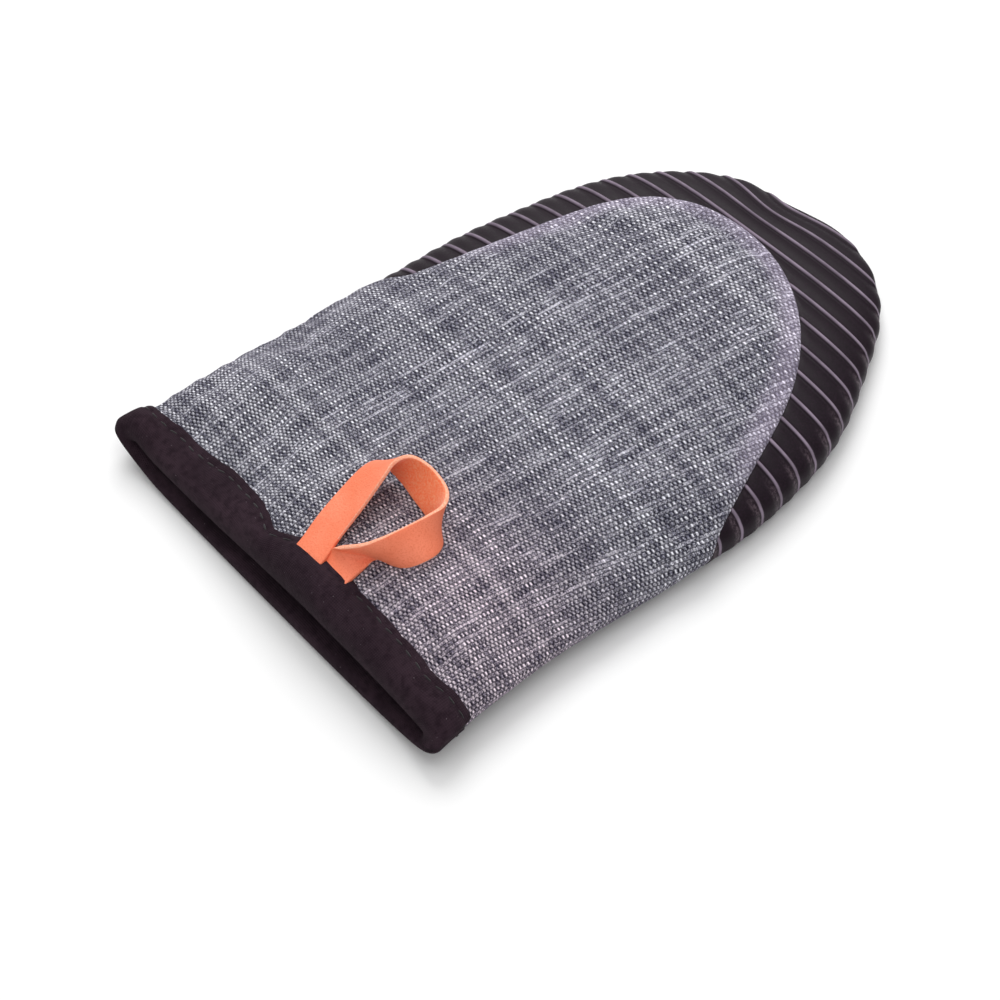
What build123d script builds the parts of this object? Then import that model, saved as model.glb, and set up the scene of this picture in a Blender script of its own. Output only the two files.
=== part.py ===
"""Thumbless oven mitt: a padded woven back on a ribbed silicone palm, with a bound cuff and a leather loop.

The mitt lies palm down. +Y runs from the cuff to the finger tip, +Z is up through the thickness, and the
origin is on the resting surface under the middle of the mitt. All lengths are in millimetres.
"""
import os
from build123d import *

# --- driving dimensions -------------------------------------------------------------------------------
mitt_width = 140.0
mitt_length = 220.0
mitt_thickness = 20.0
edge_radius = 9.0            # how far the flat faces round over into the sides

rib_height = 0.9             # ribs and binding both stand this far out of the skins
rib_width = 1.4
rib_pitch = 8.2
middle_rib_y = 0.6

fabric_thickness = 0.9       # woven back panel
silicone_thickness = 1.6     # moulded palm sheet, ribs not counted
lining_thickness = 0.6
padding_depth = 5.2          # from the rib crests down to the lining
side_seam_height = 6.5       # the back panel wraps the sides down to here

back_front_reach = 82.0      # how far forward the back panel reaches from the middle of the mitt
back_front_half_width = 58.0
back_flare = 13.0            # the panel's edge turns outwards over this length to meet the side seam

binding_width = 12.0
binding_thickness = 0.9
stitch_inset = 1.4           # topstitch row, measured from the binding's edge
thread_thickness = 0.5

strap_width = 10.4
strap_thickness = 1.3
strap_tail_length = 9.0
strap_middle_x = 11.9        # the two tails lie side by side about this line
strap_gap = 0.4
tail_clearance = 0.2
seam_allowance = 1.0         # the hidden seam runs this far inside the back panel's edge
bare_tip = 5.6               # no rib's middle lies nearer the finger tip's end than this
cut_overrun = 10.0           # cutting shapes run this far past the cuff
side_overrun = 5.0           # and this far past the sides
square_rim = 1.0             # rims within this distance of a form's square end stay sharp

# --- values that follow -------------------------------------------------------------------------------
half_width = mitt_width / 2
half_length = mitt_length / 2
cuff_y = -half_length
layers_start_y = cuff_y + binding_thickness
binding_edge_y = cuff_y + binding_width
past_cuff_y = cuff_y - cut_overrun

skin_inset = rib_height
fabric_inner = skin_inset + fabric_thickness
silicone_inner = skin_inset + silicone_thickness
lining_inner = padding_depth + lining_thickness
binding_inner = lining_inner + binding_thickness
fabric_top = mitt_thickness - skin_inset
tray_bottom = fabric_top - strap_thickness - fabric_thickness


# --- shared shapes ------------------------------------------------------------------------------------
def pillow(inset, start_y):
    """The mitt's whole outer form, pulled in by inset all round and cut square at start_y."""
    side = half_width - inset
    tip = half_length + rib_height - inset
    bottom = inset
    top = mitt_thickness - inset
    with BuildPart() as form:
        with BuildSketch(Plane.XY.offset(bottom)):
            with BuildLine():
                Line((side, 0), (side, start_y))
                Line((side, start_y), (-side, start_y))
                Line((-side, start_y), (-side, 0))
                EllipticalCenterArc((0, 0), side, tip, start_angle=0, arc_size=180)
            make_face()
        extrude(amount=top - bottom)
        faces = form.faces().sort_by(Axis.Z)
        rims = faces[0].edges() + faces[-1].edges()
        rounded = [rim for rim in rims if rim.center().Y > start_y + square_rim]
        fillet(rounded, radius=edge_radius - inset)
    return form.part


def back_zone(shrink=0.0):
    """The space that the woven back fills: its plan outline, from the side seam up."""
    wide = half_width + side_overrun
    reach = back_front_reach - shrink
    side = back_front_half_width - shrink
    with BuildPart() as zone:
        with BuildSketch(Plane.XY.offset(side_seam_height + shrink)):
            with BuildLine():
                EllipticalCenterArc((0, 0), side, reach, start_angle=0, arc_size=180)
                TangentArc((-side, 0), (-wide, -back_flare), tangent=(0, -1))
                Line((-wide, -back_flare), (-wide, past_cuff_y))
                Line((-wide, past_cuff_y), (wide, past_cuff_y))
                Line((wide, past_cuff_y), (wide, -back_flare))
                TangentArc((side, 0), (wide, -back_flare), tangent=(0, -1))
            make_face()
        extrude(amount=mitt_thickness)
    return zone.part


def slab(y_from, y_to):
    """Everything between two planes across the mitt."""
    with BuildPart() as cut:
        with BuildSketch(Plane.XZ.offset(-y_from)):
            with Locations((0, mitt_thickness / 2)):
                Rectangle(2 * mitt_width, 2 * mitt_thickness)
        extrude(amount=-(y_to - y_from))
    return cut.part


def layer(outer_inset, inner_inset):
    """One skin of the mitt, open at the cuff."""
    with BuildPart() as skin:
        add(pillow(outer_inset, layers_start_y))
        add(pillow(inner_inset, past_cuff_y), mode=Mode.SUBTRACT)
    return skin.part


def tail_block(margin, top, bottom):
    """A block round the two strap tails that lie under the binding, wider than they are by margin."""
    width = 2 * strap_width + strap_gap + 2 * margin
    length = strap_tail_length + margin
    with BuildPart() as block:
        with BuildSketch(Plane.XY.offset(bottom)):
            with Locations((strap_middle_x, layers_start_y + length / 2)):
                Rectangle(width, length)
        extrude(amount=top - bottom)
    return block.part


# --- threads ------------------------------------------------------------------------------------------
with BuildPart() as binding_topstitch:
    stitch_y = binding_edge_y - stitch_inset
    add(pillow(0.0, cuff_y))
    add(pillow(thread_thickness, past_cuff_y), mode=Mode.SUBTRACT)
    add(slab(stitch_y - thread_thickness / 2, stitch_y + thread_thickness / 2), mode=Mode.INTERSECT)
binding_topstitch.part.label = "binding_topstitch"

with BuildPart() as seam_thread:
    add(layer(fabric_inner, fabric_inner + thread_thickness))
    add(back_zone(seam_allowance), mode=Mode.INTERSECT)
    add(back_zone(seam_allowance + thread_thickness), mode=Mode.SUBTRACT)
seam_thread.part.label = "seam_thread"


# --- woven back and its wadding -----------------------------------------------------------------------
with BuildPart() as back_panel:
    add(layer(skin_inset, fabric_inner))
    add(tail_block(tail_clearance + fabric_thickness, fabric_top - fabric_thickness / 2, tray_bottom))
    add(back_zone(), mode=Mode.INTERSECT)
    add(tail_block(tail_clearance, mitt_thickness, tray_bottom + fabric_thickness), mode=Mode.SUBTRACT)
back_panel.part.label = "back_panel"

with BuildPart() as back_wadding:
    add(layer(fabric_inner, padding_depth))
    add(back_zone(), mode=Mode.INTERSECT)
    add(tail_block(tail_clearance + fabric_thickness, mitt_thickness, tray_bottom), mode=Mode.SUBTRACT)
    add(seam_thread.part, mode=Mode.SUBTRACT)
back_wadding.part.label = "back_wadding"


# --- ribbed silicone palm -----------------------------------------------------------------------------
first_rib = int((binding_edge_y - middle_rib_y) / rib_pitch) + 1
last_rib = int((half_length - bare_tip - middle_rib_y) / rib_pitch)

with BuildPart() as rib_rows:
    for number in range(first_rib, last_rib + 1):
        rib_y = middle_rib_y + number * rib_pitch
        add(slab(rib_y - rib_width / 2, rib_y + rib_width / 2))
    add(pillow(0.0, cuff_y), mode=Mode.INTERSECT)

with BuildPart() as palm_sheet:
    add(pillow(skin_inset, layers_start_y))
    add(rib_rows.part)
    add(pillow(silicone_inner, past_cuff_y), mode=Mode.SUBTRACT)
    add(back_zone(), mode=Mode.SUBTRACT)
palm_sheet.part.label = "palm_sheet"

with BuildPart() as palm_wadding:
    add(layer(silicone_inner, padding_depth))
    add(back_zone(), mode=Mode.SUBTRACT)
palm_wadding.part.label = "palm_wadding"


# --- linings: the hand pocket -------------------------------------------------------------------------
with BuildPart() as back_lining:
    add(layer(padding_depth, lining_inner))
    split(bisect_by=Plane.XY.offset(mitt_thickness / 2), keep=Keep.TOP)
back_lining.part.label = "back_lining"

with BuildPart() as palm_lining:
    add(layer(padding_depth, lining_inner))
    split(bisect_by=Plane.XY.offset(mitt_thickness / 2), keep=Keep.BOTTOM)
palm_lining.part.label = "palm_lining"


# --- bound cuff ---------------------------------------------------------------------------------------
with BuildPart() as cuff_binding:
    add(pillow(0.0, cuff_y))
    add(pillow(binding_inner, past_cuff_y), mode=Mode.SUBTRACT)
    add(slab(cuff_y, binding_edge_y), mode=Mode.INTERSECT)
    add(layer(skin_inset, lining_inner), mode=Mode.SUBTRACT)
    add(binding_topstitch.part, mode=Mode.SUBTRACT)
cuff_binding.part.label = "cuff_binding"


# --- leather hanging loop -----------------------------------------------------------------------------
# Each station is where the strap's two edges stand: the edge on the loop's inner side, then the outer one.
# The strap leaves the binding flat, turns up on edge as it goes round the bend, and comes back flat.
strap_stations = [
    ((11.7, -97.6, 20.2), (1.3, -97.6, 20.1)),
    ((10.6, -90.0, 21.8), (0.2, -90.2, 20.6)),
    ((9.6, -81.8, 26.2), (-0.8, -82.0, 23.5)),
    ((8.4, -73.6, 31.0), (-1.4, -73.0, 26.4)),
    ((7.3, -68.8, 33.0), (-0.4, -68.2, 25.8)),
    ((8.2, -64.4, 33.0), (3.2, -66.6, 23.6)),
    ((11.6, -62.0, 31.6), (8.0, -66.6, 22.4)),
    ((16.2, -61.5, 30.6), (13.0, -67.4, 21.8)),
    ((21.8, -62.8, 30.2), (18.4, -68.0, 21.2)),
    ((25.6, -66.8, 30.8), (24.2, -69.0, 20.6)),
    ((26.0, -72.0, 31.2), (29.2, -71.0, 21.2)),
    ((25.2, -76.8, 30.8), (32.0, -75.0, 22.3)),
    ((24.6, -82.0, 31.0), (32.2, -80.0, 23.0)),
    ((23.4, -86.6, 30.4), (29.8, -83.6, 21.8)),
    ((20.4, -90.6, 28.0), (26.0, -85.0, 20.6)),
    ((15.4, -92.8, 24.8), (21.8, -86.6, 20.3)),
    ((12.6, -94.4, 21.4), (22.2, -91.6, 20.1)),
    ((12.1, -97.6, 20.2), (22.5, -97.4, 20.1)),
]


def strap_planes():
    """One plane across the strap at each station, its X along the strap's width."""
    middles = [(Vector(*inner) + Vector(*outer)) / 2 for inner, outer in strap_stations]
    planes = []
    for place, (inner, outer) in enumerate(strap_stations):
        before = middles[max(place - 1, 0)]
        after = middles[min(place + 1, len(middles) - 1)]
        across = (Vector(*inner) - Vector(*outer)).normalized()
        along = after - before
        along = (along - across * along.dot(across)).normalized()
        planes.append(Plane(origin=middles[place], x_dir=across, z_dir=along))
    return planes


with BuildPart() as hang_loop:
    for plane in strap_planes():
        with BuildSketch(plane):
            Rectangle(strap_width, strap_thickness)
    loft(ruled=True)
hang_loop.part.label = "hang_loop"

with BuildPart() as loop_tails:
    with BuildSketch(Plane.XY.offset(fabric_top - strap_thickness)):
        for side in (-1, 1):
            tail_x = strap_middle_x + side * (strap_width + strap_gap) / 2
            with Locations((tail_x, layers_start_y + strap_tail_length / 2)):
                Rectangle(strap_width, strap_tail_length)
    extrude(amount=strap_thickness)
loop_tails.part.label = "loop_tails"


def publish(piece):
    """Write one finished piece to its own file, named by its label."""
    export_step(piece.part, "parts/" + piece.part.label + ".step")


os.makedirs("parts", exist_ok=True)
for finished in (back_panel, back_wadding, back_lining, palm_sheet, palm_wadding, palm_lining,
                 cuff_binding, binding_topstitch, seam_thread, hang_loop, loop_tails):
    publish(finished)
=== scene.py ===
import math

import bmesh
import bpy
import numpy as np
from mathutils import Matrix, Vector


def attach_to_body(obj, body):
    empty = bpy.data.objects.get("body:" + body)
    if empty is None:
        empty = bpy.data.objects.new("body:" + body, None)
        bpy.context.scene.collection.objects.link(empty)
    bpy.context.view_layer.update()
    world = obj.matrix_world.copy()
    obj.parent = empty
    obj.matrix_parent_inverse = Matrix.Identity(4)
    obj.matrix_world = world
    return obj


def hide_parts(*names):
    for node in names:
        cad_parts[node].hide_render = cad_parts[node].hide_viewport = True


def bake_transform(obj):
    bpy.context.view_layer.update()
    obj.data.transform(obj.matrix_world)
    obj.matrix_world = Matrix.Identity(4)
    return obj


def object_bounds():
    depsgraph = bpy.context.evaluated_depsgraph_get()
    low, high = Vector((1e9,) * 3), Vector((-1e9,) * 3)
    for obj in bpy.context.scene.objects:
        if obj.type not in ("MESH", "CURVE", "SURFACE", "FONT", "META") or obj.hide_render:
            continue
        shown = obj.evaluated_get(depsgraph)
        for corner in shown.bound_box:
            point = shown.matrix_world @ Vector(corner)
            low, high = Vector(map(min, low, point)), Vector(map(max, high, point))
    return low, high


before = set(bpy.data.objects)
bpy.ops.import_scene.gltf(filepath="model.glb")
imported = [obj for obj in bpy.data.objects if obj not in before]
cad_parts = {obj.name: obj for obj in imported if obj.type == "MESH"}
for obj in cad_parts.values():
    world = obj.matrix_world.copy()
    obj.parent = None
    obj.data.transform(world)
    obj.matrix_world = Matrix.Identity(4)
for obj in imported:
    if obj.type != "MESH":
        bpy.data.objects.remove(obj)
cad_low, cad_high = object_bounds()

# The oven mitt lies palm down on the floor. +Y runs from the cuff to the finger tip and +Z through
# its thickness. Lengths in this script are millimetres; MM turns them into the scene's metres.
MM = 0.001
HALF_LENGTH = (cad_high.y - cad_low.y) / 2 / MM
RIGHT, LEFT = 1, -1
QUARTER = math.pi / 2

# --- the body's outer form: the silicone's skin between its ribs --------------------------------------
BODY_HALF_WIDTH = 69.1
FLOOR_GAP = 0.95             # the ribs under the palm hold the skin this far off the floor
CROWN_CUFF, CROWN_FRONT = 16.6, 17.4
EQUATOR_CUFF, EQUATOR_FRONT = 8.5, 5.5
PLAN_POWER = {RIGHT: 2.35, LEFT: 2.1}    # how full the finger tip is, seen from above
NOSE_POWER, NOSE_ROUND = 2.3, 1.4
TOP_POWER, BOTTOM_POWER = 3.0, 5.0
MOUTH_TOP_POWER = {RIGHT: 2.5, LEFT: 1.6}
MOUTH_BOTTOM_POWER = 3.0
PINCH_START, PINCH_LENGTH = -86.0, 22.0

# swells and hollows of the outline: side, middle along Y, spread, height
OUTLINE_WAVER = (
    (RIGHT, -114, 13, 2.6),
    (RIGHT, -65, 22, -1.4),
    (RIGHT, 0, 25, 2.0),
    (RIGHT, 81, 30, -4.4),
    (RIGHT, 92, 14, 1.5),
    (LEFT, -114, 13, 2.6),
    (LEFT, 68, 24, 1.3),
)
CUFF_SAG = (-36, 36, -70, 38, 0.26)  # x, spread, first y, length, share of the thickness lost
CORNER_LIFT = (-54, 14, -92, 14, 3.0)    # first x, run, first y, run, height
TIP_DENT = (-8.5, 106, 9, 3.2)   # x, y, spread, depth
TIP_LEAN = (30, 80, -5.8)        # first y, run, sideways shift

# --- the hand pocket ----------------------------------------------------------------------------------
POCKET_HALF_WIDTH = 63.5
POCKET_TIP = 104.0
POCKET_LOW, POCKET_HIGH, POCKET_MIDDLE = 3.8, 7.8, 5.8
POCKET_POWER = 2.2

# --- ribs ---------------------------------------------------------------------------------------------
RIB_PITCH = 8.2
MIDDLE_RIB_Y = 0.6
RIB_HEIGHT = 0.95
RIB_SPREAD = 0.72
SIDE_RIB = 0.1               # the ribs run out to this height round the sides
SWELL_HEIGHT = 0.5
FIRST_RIB_Y = -93.7

# --- the back's fabric --------------------------------------------------------------------------------
BACK_REACH = 81.8
BACK_MIDDLE_X = -6.8
BACK_ROUND = 4.7             # how suddenly the front edge rounds over
BACK_RIGHT, BACK_TAPER = 73.1, 0.4       # right edge from that middle, and how fast it closes in
BACK_LEFT, BACK_SPREAD, BACK_DECAY = 33.6, 17.6, 71.0    # left edge, straightening as it goes
BACK_FLARE = {RIGHT: (-30, -6), LEFT: (-40, -8)}  # each edge turns down to the side seam between these
SEAM_DROP = 2.0              # the side seam lies this far below the widest line
SEAM_ALLOWANCE = 3.0         # the silicone carries on this far under the fabric
FABRIC_THICKNESS = 0.9
THREAD_PITCH, PICK_PITCH = 1.26, 0.72    # lengthwise threads and crosswise picks
WEAVE_FAN = (-90, 30, 1.08, 0.92)   # the threads lie closer by the cuff: from and to these Ys, by these factors
PICK_EASE = 0.00125                 # and the picks spread out towards the front
WEAVE_SKEW = 0.1             # how far the lengthwise threads lean towards the left as they go
SILICONE_THICKNESS = 1.6

# --- cuff binding -------------------------------------------------------------------------------------
CUFF_Y = -HALF_LENGTH
BINDING_EDGE_Y = CUFF_Y + 12.0
BINDING_THICKNESS = 0.9
COVER = 0.55                 # fabric over the outer form, under the binding
LIP_SETBACK = 2.6            # the upper lip stops this far short of the lower one
LIP_ROUND = 0.36             # share of the wall's thickness that the lip rounds over
STITCH_INSET = 2.4
STITCH_LENGTH, STITCH_PITCH, THREAD = 3.0, 4.3, 0.24

# how the tape's front edge wanders from its mean line: x, spread, height
EDGE_WANDER = ((-66, 8, -1.2), (-28, 9, 1.4), (-7, 5.5, -3.2), (30, 8, 0.9), (57, 5, -0.9))
EDGE_ADVANCE = 2.0

# --- leather strap: inner and outer edge of the band at each station ----------------------------------
STRAP_THICKNESS = 1.3
STRAP_STATIONS = (
    ((12.6, -104.5, 16.9), (2.4, -104.5, 16.7)),
    ((12.6, -100.5, 17.4), (2.4, -100.5, 17.2)),
    ((12.4, -96.8, 19.2), (2.2, -96.8, 18.8)),
    ((10.6, -90, 22.0), (0.4, -90.2, 20.8)),
    ((9.6, -81.8, 26.2), (-0.8, -82, 23.5)),
    ((8.4, -73.6, 31), (-1.4, -73, 26.4)),
    ((7.3, -68.8, 33), (-0.4, -68.2, 25.8)),
    ((8.2, -64.4, 33), (3.2, -66.6, 23.6)),
    ((11.6, -62, 31.6), (8, -66.6, 22.4)),
    ((16.2, -61.5, 30.6), (13, -67.4, 21.8)),
    ((21.8, -62.8, 30.2), (18.4, -68, 21.2)),
    ((25.6, -66.8, 30.8), (24.2, -69, 20.6)),
    ((26, -72, 31.2), (29.2, -71, 21.2)),
    ((25.2, -76.8, 30.8), (32, -75, 22.3)),
    ((24.6, -82, 31), (32.2, -80, 23)),
    ((23.4, -86.6, 30.4), (29.8, -83.6, 21.8)),
    ((20.4, -90.6, 28), (26, -85, 20.6)),
    ((14.6, -93.2, 23.6), (21.6, -86.4, 20.3)),
    ((11, -94, 20.2), (21.8, -90.8, 19.9)),
    ((10.2, -96.8, 17.8), (22, -95.6, 19.0)),
    ((10.2, -100.5, 16.2), (22, -100, 17.5)),
    ((10.2, -104.5, 15.8), (22, -104.5, 17.1)),
)
TAILS_LEFT, TAILS_RIGHT = 2.3, 22.0
STRAP_BASE_Y = -91.5         # short of this the cut edges take the grain's finish: painted shade where the legs sit low by the binding
GRAIN, FLESH, CUT_EDGE = 0, 1, 2

# --- camera -------------------------------------------------------------------------------------------
CAMERA_AZIMUTH, CAMERA_ELEVATION = 49.45, 50.06
CAMERA_DISTANCE, CAMERA_LENS = 587.3, 76.4
CAMERA_TARGET = (19.51, -42.54, 8.0)


# === small helpers ====================================================================================
def lerp(a, b, t):
    return a + (b - a) * t


def smooth(t):
    t = np.clip(t, 0, 1)
    return t * t * (3 - 2 * t)


def hill(x, middle, spread):
    return np.exp(-(((x - middle) / spread) ** 2))


def roll(t):
    """Quarter circle: rises steeply from 0 and is level from 1 on."""
    return np.sqrt(1 - (1 - np.clip(t, 0, 1)) ** 2)


def unit(vectors):
    return vectors / np.maximum(np.linalg.norm(vectors, axis=-1, keepdims=True), 1e-9)


def distance_to_line(points, line):
    """Shortest distance from each point to a chain of straight steps."""
    flat = points.reshape(-1, 3)
    nearest = np.full(len(flat), np.inf)
    for start, step in zip(line[:-1], np.diff(line, axis=0)):
        square = step @ step
        if square > 0:
            share = np.clip((flat - start) @ step / square, 0, 1)
            apart = flat - start - share[:, None] * step
            nearest = np.minimum(nearest, (apart * apart).sum(1))
    return np.sqrt(nearest).reshape(points.shape[:-1])


def catmull(stations, count):
    """Smooth curve through the stations, sampled evenly in station steps."""
    p = np.asarray(stations, float)
    p = np.vstack([2 * p[0] - p[1], p, 2 * p[-1] - p[-2]])
    t = np.linspace(0, len(p) - 3 - 1e-9, count)
    k, f = t.astype(int), (t % 1)[:, None]
    a, b, c, d = p[k], p[k + 1], p[k + 2], p[k + 3]
    return 0.5 * (2 * b + (c - a) * f + (2 * a - 5 * b + 4 * c - d) * f**2 + (3 * b - a - 3 * c + d) * f**3)


# === the forms ========================================================================================
def half_width(y, side):
    ahead = np.clip(y, 0, HALF_LENGTH) / HALF_LENGTH
    plan = (1 - ahead ** PLAN_POWER[side]) ** (1 / PLAN_POWER[side])
    waver = sum(height * hill(y, middle, spread) for s, middle, spread, height in OUTLINE_WAVER if s == side)
    return (BODY_HALF_WIDTH + waver) * plan


def nose(y):
    """Share of the full thickness at y: 1 along the body, 0 at the finger tip."""
    ahead = np.clip(y, 0, HALF_LENGTH) / HALF_LENGTH
    return (1 - ahead**NOSE_POWER) ** (1 / NOSE_ROUND)


def crown(y):
    return lerp(CROWN_CUFF, CROWN_FRONT, smooth((y - CUFF_Y) / HALF_LENGTH))


def equator(y):
    return lerp(EQUATOR_CUFF, EQUATOR_FRONT, smooth((y - CUFF_Y) / HALF_LENGTH))


def powers(y, side):
    """Section exponents above and below the equator; both drop where the cuff's corners pinch."""
    pinch = smooth((PINCH_START - y) / PINCH_LENGTH)
    return lerp(TOP_POWER, MOUTH_TOP_POWER[side], pinch), lerp(BOTTOM_POWER, MOUTH_BOTTOM_POWER, pinch)


def reach(turn, power):
    """Distance from the middle to a unit superellipse in the direction turn."""
    return (np.abs(np.cos(turn)) ** power + np.abs(np.sin(turn)) ** power) ** (-1 / power)


def slumped(points):
    """Soft changes to the regular form: the dented tip, the sagging cuff and its lifted far corner."""
    x, y = points[..., 0], points[..., 1]
    dent_x, dent_y, spread, depth = TIP_DENT
    near = ((x - dent_x) ** 2 + (y - dent_y) ** 2) / (2 * spread**2)
    sag_x, sag_spread, sag_y, sag_run, share = CUFF_SAG
    sag = share * hill(x, sag_x, sag_spread) * smooth((sag_y - y) / sag_run)
    lift_x, run_x, lift_y, run_y, height = CORNER_LIFT
    lift = height * smooth((lift_x - x) / run_x) * smooth((lift_y - y) / run_y)
    lean_y, lean_run, shift = TIP_LEAN
    points[..., 2] = points[..., 2] * (1 - sag) + lift
    points[..., 0] = x + shift * smooth((y - lean_y) / lean_run)
    points[..., 1] = y - depth * np.exp(-near)
    return points


def outer_form(y, turn):
    """Points of the outer form; turn is 0 at the right side and a quarter turn at the top."""
    y, turn = np.broadcast_arrays(np.asarray(y, float), turn)
    c, s = np.cos(turn), np.sin(turn)
    right_top, bottom_power = powers(y, RIGHT)
    top_power = np.where(c >= 0, right_top, powers(y, LEFT)[0])
    out = reach(turn, np.where(s >= 0, top_power, bottom_power))
    wide = np.where(c >= 0, half_width(y, RIGHT), half_width(y, LEFT))
    tall = nose(y) * np.where(s >= 0, crown(y) - equator(y), equator(y) - FLOOR_GAP)
    return slumped(np.stack([wide * out * c, y, equator(y) + tall * out * s], axis=-1))


def pocket_form(y, turn):
    """The lens-shaped hollow for the hand, matched point for point with the outer form."""
    y, turn = np.broadcast_arrays(np.asarray(y, float), turn)
    c, s = np.cos(turn), np.sin(turn)
    out = reach(turn, POCKET_POWER)
    share = POCKET_HALF_WIDTH / BODY_HALF_WIDTH
    wide = share * np.where(c >= 0, half_width(y, RIGHT), half_width(y, LEFT))
    tall = nose(y) * np.where(s >= 0, POCKET_HIGH - POCKET_MIDDLE, POCKET_MIDDLE - POCKET_LOW)
    along = np.where(y > 0, y * POCKET_TIP / HALF_LENGTH, y)
    return slumped(np.stack([wide * out * c, along, POCKET_MIDDLE + tall * out * s], axis=-1))


def outward(y, turn):
    """Unit normals of the outer form."""
    step = 0.01
    y = np.minimum(y, HALF_LENGTH - 2 * step)
    across = outer_form(y, turn + step) - outer_form(y, turn - step)
    along = outer_form(y + step, turn) - outer_form(y - step, turn)
    return unit(np.cross(along, across))


def edge_x(y, side, inset):
    """Where the back's edge lies in plan, brought in by inset."""
    y = np.minimum(y, BACK_REACH - inset)
    spread = BACK_RIGHT - BACK_TAPER * y if side == RIGHT else BACK_LEFT + BACK_SPREAD * np.exp(-y / BACK_DECAY)
    ahead = np.maximum(y, 0) / (BACK_REACH - inset)
    return BACK_MIDDLE_X + side * (spread - inset) * np.sqrt(1 - ahead**BACK_ROUND)


def edge_turn(y, side, inset):
    """Where the back's edge crosses the section at y, as a turn up from that side."""
    out = side * edge_x(y, side, inset)
    x = np.clip(out / np.where(out >= 0, half_width(y, side), half_width(y, -side)), -1, 1)
    top_power, bottom_power = powers(y, side)
    front = np.arctan2((1 - np.abs(x) ** top_power) ** (1 / top_power), x)
    rise = inset - SEAM_DROP * np.ones_like(y)
    z = rise / np.where(rise >= 0, crown(y) - equator(y), equator(y) - FLOOR_GAP)
    power = np.where(rise >= 0, top_power, bottom_power)
    back = np.arctan2(z, (1 - np.abs(z) ** power) ** (1 / power))
    behind, ahead = BACK_FLARE[side]
    return lerp(back, front, smooth((y - behind) / (ahead - behind)))


def even_turns(form, y, first, last, shares):
    """Turns from first to last in each row, spread evenly over length and over bending."""
    rows = []
    for row, a, b in zip(y, first, last):
        turn = np.linspace(a, b, 500)
        steps = np.diff(form(row, turn), axis=0)[:, [0, 2]]
        length = np.hypot(*steps.T)
        bend = np.abs(np.diff(np.unwrap(np.arctan2(steps[:, 1], steps[:, 0])), append=np.nan))
        bend[-1] = 0
        spread = length / max(length.sum(), 1e-9) + bend / max(bend.sum(), 1e-9)
        rows.append(np.interp(shares, np.append(0, np.cumsum(spread)) / spread.sum(), turn))
    return np.array(rows)


def across_mm(points):
    """Length along each row towards the left, measured from the plane x = 0."""
    steps = np.linalg.norm(np.diff(points, axis=1), axis=-1)
    run = np.concatenate([np.zeros((len(points), 1)), np.cumsum(steps, axis=1)], axis=1)
    return run - np.array([[np.interp(0, -row[:, 0], along)] for row, along in zip(points, run)])


# === mesh building ====================================================================================
def grid_faces(rows, columns, start=0, closed=False, flip=False):
    i, j = np.meshgrid(np.arange(rows - 1), np.arange(columns if closed else columns - 1), indexing="ij")
    k = (j + 1) % columns
    quads = np.stack([i, i, i + 1, i + 1], -1) * columns + np.stack([j, k, k, j], -1) + start
    quads = quads.reshape(-1, 4)
    return quads[:, ::-1] if flip else quads


def joining_faces(a, b):
    """Quads between two equally long chains of vertex numbers."""
    return np.stack([a[:-1], b[:-1], b[1:], a[1:]], -1)


def make_mesh(name, points, faces, materials, values=None, finish_numbers=None):
    """A smooth-shaded mesh piece. values are point attributes: name -> one number or vector each."""
    mesh = bpy.data.meshes.new(name)
    mesh.from_pydata((np.asarray(points) * MM).tolist(), [], [list(face) for face in faces])
    for key, data in (values or {}).items():
        data = np.asarray(data, np.float32)
        vector = data.ndim == 2
        attribute = mesh.attributes.new(key, "FLOAT_VECTOR" if vector else "FLOAT", "POINT")
        attribute.data.foreach_set("vector" if vector else "value", data.ravel())
    for material in materials:
        mesh.materials.append(material)
    if finish_numbers:
        mesh.polygons.foreach_set("material_index", finish_numbers)
    weld(mesh)
    mesh.polygons.foreach_set("use_smooth", [True] * len(mesh.polygons))
    piece = bpy.data.objects.new(name, mesh)
    bpy.context.scene.collection.objects.link(piece)
    return piece


def weld(mesh):
    """Joins points that coincide, drops faces that this flattens, and faces everything outwards."""
    work = bmesh.new()
    work.from_mesh(mesh)
    bmesh.ops.remove_doubles(work, verts=work.verts, dist=2e-6)
    bmesh.ops.dissolve_degenerate(work, edges=work.edges, dist=1e-7)
    bmesh.ops.recalc_face_normals(work, faces=work.faces)
    work.to_mesh(mesh)
    work.free()


def shell_mesh(name, outer, inner, materials, values=None, open_rows=None):
    """A closed shell between two grids. Rows from open_rows on are closed rings, so they get no side rim."""
    rows, columns = outer.shape[:2]
    open_rows = rows if open_rows is None else open_rows
    number = np.arange(rows * columns).reshape(rows, columns)
    below = number + rows * columns
    faces = [
        grid_faces(rows, columns),
        grid_faces(rows, columns, start=rows * columns, flip=True),
        joining_faces(number[0], below[0]),
        joining_faces(number[:open_rows, 0], below[:open_rows, 0])[:, ::-1],
        joining_faces(number[:open_rows, -1], below[:open_rows, -1]),
    ]
    points = np.vstack([outer.reshape(-1, 3), inner.reshape(-1, 3)])
    doubled = {k: np.concatenate([np.asarray(v)] * 2) for k, v in (values or {}).items()}
    return make_mesh(name, points, np.vstack(faces), materials, doubled)


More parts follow.
